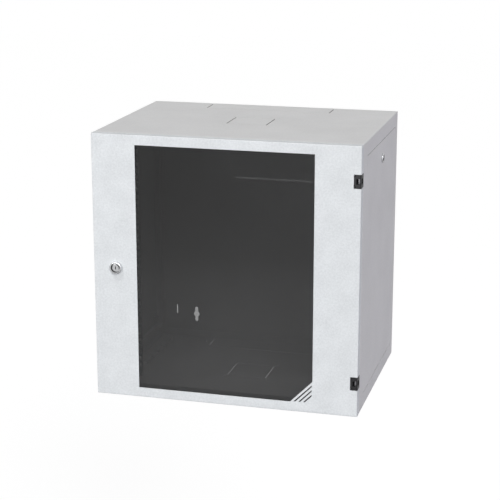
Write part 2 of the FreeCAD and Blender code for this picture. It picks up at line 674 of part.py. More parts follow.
def retainer_outline(edge, base_end, swap=False):
    """Z section that holds the pane: a foot on the glass, a wall past its edge, a base on the sheet."""
    def mirrored(distance):
        return f"{edge[0]}*({distance})"
    foot = mirrored(f"{edge[1]}-retainer_foot")
    wall = mirrored(f"{edge[1]}+retainer_gap")
    wall_end = mirrored(f"{edge[1]}+retainer_gap+retainer_sheet")
    base = mirrored(base_end)
    top, step = f"{GLASS_REAR}+retainer_sheet", f"{SHEET_REAR}+retainer_sheet"
    places = [(foot, GLASS_REAR), (wall, GLASS_REAR), (wall, SHEET_REAR), (base, SHEET_REAR),
              (base, step), (wall_end, step), (wall_end, top), (foot, top)]
    return outline(*[(v, u) if swap else (u, v) for u, v in places])


SIDE_STUD = f"({GLASS_X}+retainer_gap+retainer_sheet+{NUT_CORNER})"
END_STUD = f"({GLASS_Z}+retainer_gap+retainer_sheet+{NUT_CORNER})"
SIDE_RUN = f"({WINDOW_Z}-retainer_end)"                               # half a side retainer
SIDE_STUD_RUN = f"({SIDE_RUN}-stud_inset)"                            # half a row of its studs
END_STUD_RUN = f"({WINDOW_X}-stud_inset)"


def retainer_rows():
    """The rows of studs through the retainers: name, first stud, axis, run and number."""
    for hand, side in SIDES.items():
        first = (f"{side}*{SIDE_STUD}", f"-{SIDE_STUD_RUN}")
        yield f"retainer_{hand}", first, "Z", f"2*{SIDE_STUD_RUN}", "side_stud_count"
    for label, up in (("top", 1), ("bottom", -1)):
        first = (f"-{END_STUD_RUN}", f"{up}*{END_STUD}")
        yield f"retainer_{label}", first, "X", f"2*{END_STUD_RUN}", "end_stud_count"


def leaf_rows():
    """The pairs of studs that carry the hinge leaves."""
    for end, up in ENDS.items():
        first = (f"{HINGE_X}-leaf_reach+leaf_stud_inset", f"{up}*hinge_spread/2-hinge_screw_spread/2")
        yield f"leaf_{end}", first, "Z", "hinge_screw_spread", "leaf_stud_count"


def build_retainers():
    """Four folded strips that press the pane against its seal."""
    side_strip = ("Z", f"-{SIDE_RUN}", f"2*{SIDE_RUN}")
    end_strip = ("X", f"-{WINDOW_X}", f"2*{WINDOW_X}")
    for name, first, run_axis, run, count in retainer_rows():
        body = new_body(f"glass_{name}")
        sign = -1 if name.endswith(("left", "bottom")) else 1
        if run_axis == "Z":
            drawing = retainer_outline((sign, GLASS_X), f"{SIDE_STUD}+{NUT_CORNER}")
            extrude(body, "strip", *side_strip, [drawing])
        else:
            drawing = retainer_outline((sign, GLASS_Z), "height/2-sheet-retainer_room", swap=True)
            extrude(body, "strip", *end_strip, [drawing])
        hole = cut(body, "hole", "Y", SHEET_REAR, "retainer_sheet", [circle(*first, "stud_hole_radius")])
        repeat(body, "hole_row", [hole], run_axis, run, count)


def build_door_studs():
    """Weld studs on the door sheet and the nuts on them."""
    studs = new_body("door_studs")
    nuts = new_body("door_nuts")
    for rows, thick in ((retainer_rows(), "retainer_sheet"), (leaf_rows(), "leaf_plate")):
        for name, first, run_axis, run, count in rows:
            row(studs, name, "Y", SHEET_REAR, "stud_length", [circle(*first, "stud_radius")],
                run_axis, run, count)
            row(nuts, name, "Y", f"{SHEET_REAR}+{thick}", "nut_height",
                [hexagon(*first, "nut_flats"), circle(*first, "stud_radius+running_clearance")],
                run_axis, run, count)


# ---------------------------------------------------------------- hinges
BLOCK_FRONT = "(-hinge_axis_front+hinge_flush)"
BLOCK_SIDE = "(hinge_axis_side-hinge_flush)"
BODY_FRONT = "(door_depth+door_gap-hinge_axis_front)"                 # body's front seen from the hinge axis
KNUCKLE_END = "(hinge_height/2-hinge_ear-hinge_run)"


def place_hinge(body, end):
    place(body, HINGE_X, f"-{HINGE_Y}", f"{ENDS[end]}*hinge_spread/2")


def round_block(body, corners):
    """Round the block's upright front edges at the given sides of the axis."""
    soften(body, "corners", "hinge_corner",
           lambda edge: along(edge, "Z") and near(edge.BoundBox.YMin, value(BLOCK_FRONT))
           and any(near(edge.BoundBox.XMin, value(corner)) for corner in corners))


def build_hinge_bracket(end):
    """Fixed half of a hinge: a plate on the body's front flange with two ears for the pin."""
    body = new_body(f"hinge_bracket_{end}")
    extrude(body, "plate", "Y", f"{BODY_FRONT}-hinge_base", "hinge_base",
            [rectangle("-hinge_base_reach", BLOCK_SIDE, "-hinge_height/2", "hinge_height/2")])
    for name, start in (("upper", "hinge_height/2-hinge_ear"), ("lower", "-hinge_height/2")):
        extrude(body, f"{name}_ear", "Z", start, "hinge_ear",
                [rectangle("-hinge_inner", BLOCK_SIDE, BLOCK_FRONT, BODY_FRONT)])
    round_block(body, ("-hinge_inner", BLOCK_SIDE))
    cut(body, "bore", "Z", "-hinge_height/2", "hinge_height",
        [circle("0", "0", "hinge_pin_radius+running_clearance")])
    cut(body, "screw_holes", "Y", f"{BODY_FRONT}-hinge_base", "hinge_base",
        [circle("-hinge_base_reach+hinge_screw_inset", f"{i}*hinge_screw_spread/2",
                "screw_radius+bolt_clearance") for i in (-1, 1)])
    place_hinge(body, end)


def build_hinge_leaf(end):
    """Door half of a hinge: a plate behind the door sheet and a knuckle block cut open round the pin."""
    body = new_body(f"hinge_leaf_{end}")
    sheet_rear = "(-hinge_axis_front+sheet)"
    extrude(body, "plate", "Y", sheet_rear, "leaf_plate",
            [rectangle("-leaf_reach", "-leaf_start", "-hinge_height/2", "hinge_height/2")])
    extrude(body, "block", "Z", f"-{KNUCKLE_END}", f"2*{KNUCKLE_END}",
            [outline(("-leaf_start", sheet_rear), ("-hinge_inner", sheet_rear),
                     ("-hinge_inner", BLOCK_FRONT), (BLOCK_SIDE, BLOCK_FRONT),
                     (BLOCK_SIDE, "hinge_block_rear"), ("-hinge_inner", "hinge_block_rear"),
                     ("-leaf_start", f"{sheet_rear}+leaf_plate"))])
    round_block(body, (BLOCK_SIDE,))
    cut(body, "front_window", "Y", BLOCK_FRONT, f"hinge_block_rear-{BLOCK_FRONT}",
        [centred("0", "0", "hinge_window_half", "hinge_window/2")])
    cut(body, "side_window", "X", "hinge_window_half", f"{BLOCK_SIDE}-hinge_window_half",
        [rectangle(f"{BLOCK_FRONT}+hinge_window_front", "hinge_block_rear",
                   "-hinge_window/2", "hinge_window/2")])
    cut(body, "bore", "Z", "-hinge_height/2", "hinge_height",
        [circle("0", "0", "hinge_pin_radius+running_clearance")])
    cut(body, "stud_holes", "Y", sheet_rear, "leaf_plate",
        [circle("-leaf_reach+leaf_stud_inset", f"{i}*hinge_screw_spread/2", "stud_hole_radius")
         for i in (-1, 1)])
    place_hinge(body, end)


def build_hinge_pin(end):
    body = new_body(f"hinge_pin_{end}")
    half = "(hinge_height/2+hinge_pin_over)"
    extrude(body, "pin", "Z", f"-{half}", f"2*{half}", [circle("0", "0", "hinge_pin_radius")])
    soften(body, "ends", "hinge_pin_bevel", lambda edge: True, kind="Chamfer")
    place_hinge(body, end)


def build_hinge_screws():
    """Screws that hold the hinge brackets to the body's front flange."""
    body = new_body("hinge_bracket_screws")
    plate_front = "(-body_depth-hinge_base)"
    places = [(f"{HINGE_X}-hinge_base_reach+hinge_screw_inset",
               f"{up}*hinge_spread/2+{i}*hinge_screw_spread/2") for up in ENDS.values() for i in (-1, 1)]
    extrude(body, "heads", "Y", f"{plate_front}-screw_head", "screw_head",
            [circle(x, z, "screw_head_radius") for x, z in places])
    extrude(body, "shanks", "Y", plate_front, "screw_length",
            [circle(x, z, "screw_radius") for x, z in places])


# ---------------------------------------------------------------- locks
def build_lock(kind, suffix, depth, put):
    """Cam lock made about its own axis, Z outwards from the sheet's face and X along the cam."""
    collar, proud = f"{kind}_collar_radius", f"{kind}_collar_proud"
    barrel, plug_radius = f"{kind}_barrel_radius", f"{kind}_plug_radius"
    bore = f"({plug_radius}+running_clearance)"
    barrel_end = f"-({depth}-lock_end_play)"
    cam_rear = f"-({depth}+cam_thickness)"
    plug_face = f"({proud}-lock_sink)"

    housing = new_body(f"{kind}_housing{suffix}")
    revolve(housing, "turned",
            [(bore, barrel_end), (barrel, barrel_end), (barrel, "0"), (collar, "0"),
             (collar, f"{proud}-lock_rim"), (f"{collar}-lock_rim", proud), (f"{bore}+lock_rim", proud),
             (bore, plug_face)])
    nut = new_body(f"{kind}_nut{suffix}")
    extrude(nut, "nut", "Z", f"-sheet-{kind}_nut_height", f"{kind}_nut_height",
            [hexagon("0", "0", f"{kind}_nut_flats"), circle("0", "0", f"{barrel}+running_clearance")])

    plug = new_body(f"{kind}_plug{suffix}")
    extrude(plug, "cylinder", "Z", barrel_end, f"{plug_face}-({barrel_end})", [circle("0", "0", plug_radius)])
    extrude(plug, "tail", "Z", cam_rear, f"{barrel_end}-({cam_rear})",
            [centred("0", "0", "cam_square/2", "cam_square/2")])
    cut(plug, "key_slot", "Z", f"{plug_face}-key_slot_depth", "key_slot_depth",
        [centred("0", "0", "key_slot_length/2", "key_slot_width/2")])
    cut(plug, "screw_bore", "Z", cam_rear, "cam_screw_length+lock_end_play",
        [circle("0", "0", "cam_screw_radius+running_clearance")])
    cam = new_body(f"{kind}_cam{suffix}")
    extrude(cam, "plate", "Z", cam_rear, "cam_thickness",
            [rectangle("-cam_half_width", f"{kind}_reach", "-cam_half_width", "cam_half_width"),
             centred("0", "0", "cam_square/2+running_clearance", "cam_square/2+running_clearance")])
    soften(cam, "corners", "cam_corner",
           lambda edge: along(edge, "Z") and near(abs(edge.BoundBox.YMin), value("cam_half_width")))
    screw = new_body(f"{kind}_cam_screw{suffix}")
    extrude(screw, "head", "Z", f"{cam_rear}-cam_screw_head", "cam_screw_head",
            [circle("0", "0", "cam_screw_head_radius")])
    extrude(screw, "shank", "Z", cam_rear, "cam_screw_length", [circle("0", "0", "cam_screw_radius")])
    for body in (housing, nut, plug, cam, screw):
        put(body)


def build_locks():
    """The door's lock, its cam pointing down, and one in each side panel, its cam pointing to the wall."""
    Vector = FreeCAD.Vector
    turn = FreeCAD.Rotation(Vector(0, 0, -1), Vector(1, 0, 0), Vector(0, -1, 0), "ZXY")
    build_lock("lock", "", "(door_depth+door_gap+sheet+cam_clearance)",
               lambda body: place(body, "-(width/2-lock_side)", f"-{DOOR_FRONT}", "0", turn))
    for hand, side in SIDES.items():
        turn = FreeCAD.Rotation(Vector(0, 1, 0), Vector(0, 0, side), Vector(side, 0, 0), "ZXY")
        build_lock("side_lock", f"_{hand}", "(jamb_depth+sheet+cam_clearance)",
                   lambda body: place(body, f"{side}*width/2", f"-{OPEN_MIDDLE}", SIDE_LOCK_Z, turn))


# ---------------------------------------------------------------- side panels
def build_side_panel(hand):
    """Lift-off side panel: a flush tray with two foot tabs that drop into the jamb's slots."""
    body = new_body(f"side_panel_{hand}")
    slab = layers(body, "X", "width", SIDES[hand])
    slab("tray", "0", "panel_flange", [rectangle(f"-{PANEL_FRONT}", f"-{PANEL_REAR}", f"-{PANEL_Z}", PANEL_Z)])
    face = value(f"{SIDES[hand]}*width/2")
    soften(body, "folds", "bend_radius",
           lambda edge: near(edge.BoundBox.XMin, face) and near(edge.BoundBox.XMax, face))
    slab("hollow", "sheet", "panel_flange",
         [rectangle(f"-{PANEL_FRONT}+sheet", f"-{PANEL_REAR}-sheet",
                    f"-{PANEL_Z}+sheet", f"{PANEL_Z}-sheet")], cut)
    middles = [f"(-{OPEN_MIDDLE}+{i}*tab_spread/2)" for i in (-1, 1)]
    slab("tabs", "tab_inset", "tab_inset+sheet",
         [rectangle(f"{middle}-tab_width/2", f"{middle}+tab_width/2",
                    f"-{PANEL_Z}-tab_length", f"-{PANEL_Z}+sheet") for middle in middles])
    slab("lock_hole", "0", "sheet",
         [circle(f"-{OPEN_MIDDLE}", SIDE_LOCK_Z, "side_lock_barrel_radius+running_clearance")], cut)


def build_earth_stud(hand):
    """Weld stud for the side panel's earth lead."""
    body = new_body(f"earth_stud_{hand}")
    layers(body, "X", "width", SIDES[hand])(
        "stud", "sheet", "sheet+earth_length",
        [circle(f"-{PANEL_REAR}-earth_inset", f"-{PANEL_Z}+earth_rise", "earth_radius")])


# ---------------------------------------------------------------- assembly
build_deck("top_panel", "upper")
build_deck("bottom_panel", "lower")
build_back_panel()
for hand in SIDES:
    build_side_frame(hand)
    build_rail(hand)
    for end in ENDS:
        build_rail_bracket(end, hand)
build_rail_fasteners()
build_bumpers()
build_door_frame()
build_glazing()
build_retainers()
build_door_studs()
for end in ENDS:
    build_hinge_bracket(end)
    build_hinge_leaf(end)
    build_hinge_pin(end)
build_hinge_screws()
for hand in SIDES:
    build_side_panel(hand)
    build_earth_stud(hand)
build_locks()
doc.recompute()

failed = [item.Name for item in doc.Objects if {"Invalid", "Error"} & set(item.State)]
if failed:
    raise ValueError(f"failed objects: {failed}")
pieces = [item for item in doc.Objects if item.TypeId == "PartDesign::Body"]
for piece in pieces:
    if piece.Shape.isNull() or not piece.Shape.isValid():
        raise ValueError(f"{piece.Label} has no valid shape")
    piece.Shape.exportStep(f"parts/{piece.Label}.step")
    print(f"{piece.Label:28} {len(piece.Shape.Solids):3} solids {piece.Shape.Volume / 1000:10.3f} cm3")
print(len(pieces), "pieces")
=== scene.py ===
# %% [markdown]
# # A wall mount network cabinet
#
# The steel cabinet arrives finished in size: every sheet, lock and hinge is already in place, in metres,
# with the middle of its wall face at the origin. This lesson dresses it. It sets a camera and soft lamps,
# mixes the finishes, and makes the small threaded parts that repeat round the glass and on the rails.
# First the cabinet is loaded, and its box is kept.

# %% Load the cabinet
import json
import math

import bmesh
import bpy
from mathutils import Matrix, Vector


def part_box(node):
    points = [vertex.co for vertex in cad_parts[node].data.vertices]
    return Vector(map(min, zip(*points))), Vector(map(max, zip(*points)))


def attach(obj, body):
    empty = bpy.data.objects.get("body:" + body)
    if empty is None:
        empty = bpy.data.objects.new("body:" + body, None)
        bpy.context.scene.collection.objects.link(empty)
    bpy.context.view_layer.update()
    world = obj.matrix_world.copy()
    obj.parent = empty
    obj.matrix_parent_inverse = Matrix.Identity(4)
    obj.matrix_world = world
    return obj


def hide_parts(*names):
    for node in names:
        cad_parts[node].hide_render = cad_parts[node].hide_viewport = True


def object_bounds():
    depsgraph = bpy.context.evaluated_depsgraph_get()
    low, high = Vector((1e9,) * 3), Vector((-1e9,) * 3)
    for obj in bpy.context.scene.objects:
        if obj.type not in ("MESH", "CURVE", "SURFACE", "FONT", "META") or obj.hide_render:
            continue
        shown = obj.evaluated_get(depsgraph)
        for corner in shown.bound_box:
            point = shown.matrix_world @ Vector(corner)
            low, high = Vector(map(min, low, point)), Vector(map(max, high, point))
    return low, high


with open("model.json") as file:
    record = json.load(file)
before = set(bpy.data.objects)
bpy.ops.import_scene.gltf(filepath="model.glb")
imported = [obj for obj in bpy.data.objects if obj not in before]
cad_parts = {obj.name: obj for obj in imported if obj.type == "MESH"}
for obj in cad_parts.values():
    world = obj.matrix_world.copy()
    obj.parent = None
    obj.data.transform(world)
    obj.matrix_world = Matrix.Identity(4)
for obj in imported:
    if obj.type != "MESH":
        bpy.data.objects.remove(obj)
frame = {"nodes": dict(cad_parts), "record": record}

size_at_start = [list(corner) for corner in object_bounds()]
low_corner, high_corner = (Vector(corner) for corner in size_at_start)
print("cabinet box", [round(side, 4) for side in high_corner - low_corner], "metres")

# %% [markdown]
# ## Where the camera stands
#
# A product view of a wall cabinet is taken from a little above and from the hinge side, so that the door,
# the top and one side panel all show. The camera stands about three metres away with a long lens, which
# keeps the upright edges nearly parallel. Its place could be found by trial; here it is written down as
# a point and two angles, because those five numbers are easy to read and to change.

# %% Camera
camera_place = (0.8490, -3.4147, 0.8807)
camera_down = 14.96
camera_left = 14.92

camera_data = bpy.data.cameras.new("studio_camera")
camera_data.sensor_width = 36
camera_data.lens = 106.03
camera = bpy.data.objects.new("studio_camera", camera_data)
camera.location = camera_place
camera.rotation_euler = (math.radians(90 - camera_down), 0, math.radians(camera_left))
bpy.context.scene.collection.objects.link(camera)
bpy.context.scene.camera = camera
bpy.context.scene.view_settings.view_transform = "Standard"
print("camera", camera_place, "lens", round(camera_data.lens, 2), "mm")

# %% [markdown]
# ## A few words for building node trees
#
# Both materials and Geometry Nodes are trees of nodes joined by links. A handful of helpers keeps the rest
# of the lesson short: one adds a node and fills its inputs with values or links, one finds a node again, two
# do arithmetic with numbers and with vectors, and one starts a group, which is a tree that other trees use.

# %% Node helpers
def fill(tree, socket, content):
    """Links a socket into an input, or sets the input to a value."""
    if isinstance(content, bpy.types.NodeSocket):
        tree.links.new(content, socket)
    else:
        socket.default_value = content


def add_node(tree, kind, **values):
    """Adds a node; each value is a property of the node, or goes into the input of that name."""
    node = tree.nodes.new(kind)
    for name, content in values.items():
        if hasattr(node, name):
            setattr(node, name, content)
        else:
            fill(tree, node.inputs[name.replace("_", " ")], content)
    return node


def first_node(tree, kind):
    return next(node for node in tree.nodes if node.type == kind)


def worked(kind, tree, operation, *terms):
    """One node that works out an operation on its terms, each a value or a socket."""
    node = add_node(tree, kind, operation=operation)
    for socket, term in zip(node.inputs, terms):
        fill(tree, socket, term)
    return node.outputs[0]


def maths(tree, operation, *terms):
    return worked("ShaderNodeMath", tree, operation, *terms)


def vectors(tree, operation, *terms):
    return worked("ShaderNodeVectorMath", tree, operation, *terms)


def new_group(name, kind, inputs, outputs):
    """An empty group. Each input is given its first value or a kind of socket, each output a kind of socket."""
    tree = bpy.data.node_groups.new(name, kind)
    for label, start in inputs.items():
        plain = {float: "Float", tuple: "Vector"}.get(type(start), start)
        socket = tree.interface.new_socket(label, in_out="INPUT", socket_type=f"NodeSocket{plain}")
        if plain != start:
            socket.default_value = start
    for label, plain in outputs.items():
        tree.interface.new_socket(label, in_out="OUTPUT", socket_type=f"NodeSocket{plain}")
    return tree, tree.nodes.new("NodeGroupInput").outputs, tree.nodes.new("NodeGroupOutput").inputs


def new_material(name):
    material = bpy.data.materials.new(name)
    material.use_nodes = True
    tree = material.node_tree
    tree.nodes.clear()
    return material, tree, tree.nodes.new("ShaderNodeOutputMaterial").inputs["Surface"]


print("helpers ready")

# %% [markdown]
# ## The floor and the air round the cabinet
#
# The studio is plain white. A white floor lit from above would throw a lot of light up on the cabinet, so
# the floor has two faces: to the lamps it is a pale matt floor, and to the camera and through glass it
# glows, which makes it white and still lets the cabinet's shadow show. Metal and glass mirror a dimmer
# glow, or else the tinted window would show the floor in place of the shelf space behind it. The air
# round the cabinet does the same: white where it is seen, and a soft low light on everything else.

# %% Floor and air
def seen_rays(tree, rays):
    """One where a ray comes from the camera, a mirror or glass, and nought where it carries soft light."""
    eye = maths(tree, "MAXIMUM", rays["Is Camera Ray"], rays["Is Glossy Ray"])
    return maths(tree, "MAXIMUM", eye, rays["Is Transmission Ray"])


def mix(tree, factor, first, second):
    """The first shader where the factor is nought, the second where it is one."""
    node = add_node(tree, "ShaderNodeMixShader", Fac=factor)
    tree.links.new(first.outputs[0], node.inputs[1])
    tree.links.new(second.outputs[0], node.inputs[2])
    return node


def floor_material(bounce=0.5, shade=0.16, glow=0.9, mirrored_near=0.03, mirrored_far=0.6, near=2.4, far=3.4):
    """A matt floor to the lamps and a glowing one to the eye; mirrors see it dim when near, bright when far."""
    material, tree, end = new_material("studio_floor")
    rays = add_node(tree, "ShaderNodeLightPath").outputs
    away = add_node(tree, "ShaderNodeVectorMath", operation="LENGTH",
                    Vector=add_node(tree, "ShaderNodeTexCoord").outputs["Object"]).outputs["Value"]
    mirror_glow = add_node(tree, "ShaderNodeMapRange", Value=away, From_Min=near, From_Max=far,
                           To_Min=mirrored_near, To_Max=mirrored_far).outputs["Result"]
    matt = add_node(tree, "ShaderNodeBsdfDiffuse", Color=(bounce, bounce, bounce, 1))
    thin = add_node(tree, "ShaderNodeBsdfDiffuse", Color=(shade, shade, shade, 1))
    lamp = add_node(tree, "ShaderNodeEmission",
                    Strength=maths(tree, "MULTIPLY_ADD", rays["Is Glossy Ray"],
                                   maths(tree, "SUBTRACT", mirror_glow, glow), glow))
    both = tree.nodes.new("ShaderNodeAddShader")
    tree.links.new(thin.outputs[0], both.inputs[0])
    tree.links.new(lamp.outputs[0], both.inputs[1])
    tree.links.new(mix(tree, seen_rays(tree, rays), matt, both).outputs[0], end)
    return material


half_floor = 16
floor_drop = 1.2
floor_height = low_corner.z - floor_drop
floor_mesh = bpy.data.meshes.new("studio_floor")
floor_mesh.from_pydata([(i * half_floor, j * half_floor, floor_height) for i, j in
                        ((-1, -1), (1, -1), (1, 1), (-1, 1))], [], [(0, 1, 2, 3)])
floor_mesh.materials.append(floor_material())
floor = bpy.data.objects.new("studio_floor", floor_mesh)
bpy.context.scene.collection.objects.link(floor)

world = bpy.data.worlds.new("studio_air")
bpy.context.scene.world = world
world.use_nodes = True
air = world.node_tree
air.nodes.clear()
rays = add_node(air, "ShaderNodeLightPath").outputs
soft_strength, white_strength = 0.03, 1.0
soft_light, white_light = (add_node(air, "ShaderNodeBackground", Color=(1, 1, 1, 1), Strength=strength)
                           for strength in (soft_strength, white_strength))
air.links.new(mix(air, seen_rays(air, rays), soft_light, white_light).outputs[0],
              air.nodes.new("ShaderNodeOutputWorld").inputs["Surface"])
print("floor at", round(floor_height, 3), "metres; white air all round")

# %% [markdown]
# ## Lamps
#
# A large soft lamp faces the door and makes it the brightest side. A broad sun from the upper right models
# the top, the door and the side in three clear greys, and a small lamp keeps that side from going dull. A
# narrow sun stands high at the left: it falls through the slits of the cable entries and draws thin bright
# lines inside. A spot under the roof lights the inner floor, as light through the glass would, and a
# last lamp behind the cabinet is for whoever walks round it.

# %% Set the lamps
below_roof = 0.015


def aimed(way):
    """The rotation that turns a lamp's -Z along a direction."""
    return Vector(way).to_track_quat("-Z", "Y").to_euler()


def add_lamp(name, kind, energy, way, place=(0, 0, 0), color=(1, 1, 1), **values):
    data = bpy.data.lights.new(name, kind)
    data.energy, data.color = energy, color
    for label, content in values.items():
        setattr(data, label, content)
    lamp = bpy.data.objects.new(name, data)
    lamp.location, lamp.rotation_euler = place, aimed(way)
    bpy.context.scene.collection.objects.link(lamp)
    print(name, kind, energy)


add_lamp("door_lamp", "AREA", 114, (1.5, 5.2, -0.7), (-1.5, -5.6, 0.7), (1.0, 1.0, 1.02),
         shape="RECTANGLE", size=3.4, size_y=2.6)
add_lamp("broad_sun", "SUN", 1.39, (-0.54, 1.0, -0.74), angle=math.radians(18))
add_lamp("narrow_sun", "SUN", 1.15, (0.694, 1.0, -2.66), angle=math.radians(0.15))
add_lamp("side_lamp", "AREA", 28, (-4.5, 0.3, -0.6), (4.5, -0.6, 0.6), (1.05, 1.0, 1.24), size=2.5)
add_lamp("inner_spot", "SPOT", 1.2, (0, 0, -1), (-0.03, -0.27, high_corner.z - below_roof),
         spot_size=math.radians(75), spot_blend=1.0, shadow_soft_size=0.05)
add_lamp("wall_side_sun", "SUN", 1.0, (1.0, -1.0, -0.04), angle=math.radians(5))

# %% [markdown]
# ## Finishes
#
# Ten finishes cover the cabinet. Each one starts from the same thing, the point on the piece in its own
# Object coordinates, so that the grain stays on the steel when the door swings. What more than one
# finish needs is a node group: powder_grain gives the fine unevenness of a baked powder or of cast metal,
# and brushed_lines gives the fine drawn marks of plated steel. Each finish sets its own sizes.

# %% Shared surface groups
powder_grain, begin, end = new_group(
    "powder_grain", "ShaderNodeTree", {"Coordinates": "Vector", "Grain Size": 0.003, "Patch Size": 0.06},
    {"Mask": "Float", "Height": "Float"})
noises = [add_node(powder_grain, "ShaderNodeTexNoise", Vector=begin["Coordinates"], Detail=detail,
                   Roughness=roughness, Scale=maths(powder_grain, "DIVIDE", 1.0, begin[size])).outputs["Fac"]
          for size, detail, roughness in (("Grain Size", 3.0, 0.62), ("Patch Size", 2.0, 0.5))]
patch_share = 0.35
mottle = maths(powder_grain, "MULTIPLY_ADD", noises[1], patch_share,
               maths(powder_grain, "MULTIPLY", noises[0], 1 - patch_share))
fill(powder_grain, end["Mask"], mottle)
fill(powder_grain, end["Height"], noises[0])

brushed_lines, begin, end = new_group(
    "brushed_lines", "ShaderNodeTree", {"Coordinates": "Vector", "Line Width": 0.0006, "Stretch": (1, 1, 0.04)},
    {"Mask": "Float", "Height": "Float"})
strokes = add_node(brushed_lines, "ShaderNodeTexNoise", Detail=4.0, Roughness=0.6,
                   Vector=vectors(brushed_lines, "MULTIPLY", begin["Coordinates"], begin["Stretch"]),
                   Scale=maths(brushed_lines, "DIVIDE", 1.0, begin["Line Width"])).outputs["Fac"]
fill(brushed_lines, end["Mask"], strokes)
fill(brushed_lines, end["Height"], strokes)
print("groups", powder_grain.name, brushed_lines.name)

# %% [markdown]
# Every finish goes the same way: put a group on Object coordinates, turn its mask into a colour between two
# tones and a roughness between two levels, and lift the surface by a bump. One helper does all of that, so
# that a finish reads as one line of tones, levels and sizes. The shader itself stays in the material.

# %% Finish helpers
def tones(tree, mask, low, high, start=0.35, stop=0.65):
    """A colour that goes from the low tone to the high one as the mask rises."""
    ramp = add_node(tree, "ShaderNodeValToRGB", Fac=mask)
    for knot, place, tone in zip(ramp.color_ramp.elements, (start, stop), (low, high)):
        knot.position, knot.color = place, (*tone, 1)
    return ramp.outputs["Color"]


def levels(tree, mask, low, high, start=0.35, stop=0.65):
    """A number that goes from low to high as the mask rises."""
    return add_node(tree, "ShaderNodeMapRange", Value=mask, From_Min=start, From_Max=stop,
                    To_Min=low, To_Max=high).outputs["Result"]


def new_finish(name, group, sizes, colours, gloss, depth, **even):
    """A material whose group varies its colour and roughness; even values stay on the shader's own sockets."""
    material, tree, end = new_material(name)
    skin = add_node(tree, "ShaderNodeGroup", node_tree=group)
    fill(tree, skin.inputs["Coordinates"], add_node(tree, "ShaderNodeTexCoord").outputs["Object"])
    for label, size in sizes.items():
        skin.inputs[label].default_value = size
    mask = skin.outputs["Mask"]
    shader = add_node(tree, "ShaderNodeBsdfPrincipled", Roughness=levels(tree, mask, *gloss))
    for label, content in even.items():
        shader.inputs[label.replace("_", " ")].default_value = content
    if colours:
        fill(tree, shader.inputs["Base Color"], tones(tree, mask, *colours))
    if depth:
        lift = add_node(tree, "ShaderNodeBump", Strength=1.0, Distance=depth, Height=skin.outputs["Height"])
        fill(tree, shader.inputs["Normal"], lift.outputs["Normal"])
    tree.links.new(shader.outputs[0], end)
    print(name)
    return material


def grained(name, grain, patch, colours, gloss, depth, **even):
    """Powder, foam, rubber or glass: a skin with a grain and larger patches."""
    return new_finish(name, powder_grain, {"Grain Size": grain, "Patch Size": patch}, colours, gloss, depth,
                      **even)


def plated(name, width, stretch, colours, gloss, depth):
    """Plated steel: bare metal with drawn lines."""
    return new_finish(name, brushed_lines, {"Line Width": width, "Stretch": stretch}, colours, gloss, depth,
                      Metallic=1.0)


print("finish helpers ready")

# %% [markdown]
# The door's powder is a cool light grey with a fine orange-peel texture. The body gets a grey of its own,
# smoother and without the cool cast, so that the two can be set apart. Powder coat is a plastic skin, so it
# is a plain dielectric with a soft gloss.

# %% Powder coats
door_coat = grained("door_powder_coat", 0.0042, 0.05, ((0.655, 0.678, 0.692), (0.765, 0.790, 0.806)),
                    (0.62, 0.48), 0.00012, IOR=1.5)
body_coat = grained("body_powder_coat", 0.0026, 0.09, ((0.700, 0.700, 0.700), (0.768, 0.768, 0.768)),
                    (0.64, 0.56), 0.00003, IOR=1.5)

# %% [markdown]
# The window is tinted safety glass. Light that only passes through it, on its way to the shelf space, is
# let by as if through a plain veil, since a renderer finds no lamp through a refracting pane. The veil's
# tone was found by trial, until the shelf space was as bright as it should be. What the eye sees in the pane
# stays true glass: it mirrors, bends and darkens.

# %% Tinted glass
veil_tone = 0.26
tinted_glass = grained("tinted_glass", 0.03, 0.2, None, (0.0, 0.02), None, Base_Color=(0.36, 0.362, 0.365, 1),
                       Metallic=0.0, IOR=1.45, Transmission_Weight=1.0)
tree = tinted_glass.node_tree
rays = add_node(tree, "ShaderNodeLightPath").outputs
veil = add_node(tree, "ShaderNodeBsdfTransparent", Color=(veil_tone, veil_tone, veil_tone, 1))
pane = first_node(tree, "BSDF_PRINCIPLED")
passing = maths(tree, "MAXIMUM", rays["Is Shadow Ray"], rays["Is Diffuse Ray"])
tree.links.new(mix(tree, passing, pane, veil).outputs[0], first_node(tree, "OUTPUT_MATERIAL").inputs["Surface"])

# %% [markdown]
# Foam, rubber and the hinges' black zinc are all nearly black and differ by their gloss and grain: open
# foam is dead matt and coarse, rubber is soft and even, black zinc has a low oily shine.

# %% Foam, rubber and black zinc
foam = grained("black_foam_tape", 0.0012, 0.02, ((0.010, 0.010, 0.011), (0.030, 0.030, 0.032)),
               (0.98, 0.85), 0.0004, IOR=1.45)
rubber = grained("bumper_rubber", 0.0015, 0.006, ((0.018, 0.018, 0.019), (0.032, 0.032, 0.033)),
                 (0.75, 0.60), 0.00006, IOR=1.5)
black_zinc = grained("black_zinc", 0.0012, 0.008, ((0.008, 0.008, 0.009), (0.018, 0.018, 0.020)),
                     (0.50, 0.36), 0.00005, IOR=1.4)

# %% [markdown]
# The bare metals are steel under a thin plating. Chrome on the locks is nearly a mirror, bright zinc on
# screws and nuts is satin, and the rails' zinc plate shows long upright marks from the rolling mill.

# %% Chrome, bright zinc and zinc plate
chrome_look = 0.002, (1, 1, 1), ((0.60, 0.61, 0.62), (0.72, 0.73, 0.74)), (0.16, 0.08), 0.000004
chrome = plated("chrome", *chrome_look)
bright_zinc = plated("bright_zinc", 0.001, (1, 1, 1), ((0.50, 0.52, 0.54), (0.68, 0.70, 0.72)), (0.42, 0.26),
                     0.00002)
zinc_plate = plated("zinc_plate", 0.004, (1, 1, 0.06), ((0.42, 0.43, 0.44), (0.60, 0.61, 0.62)), (0.48, 0.30),
                    0.00002)
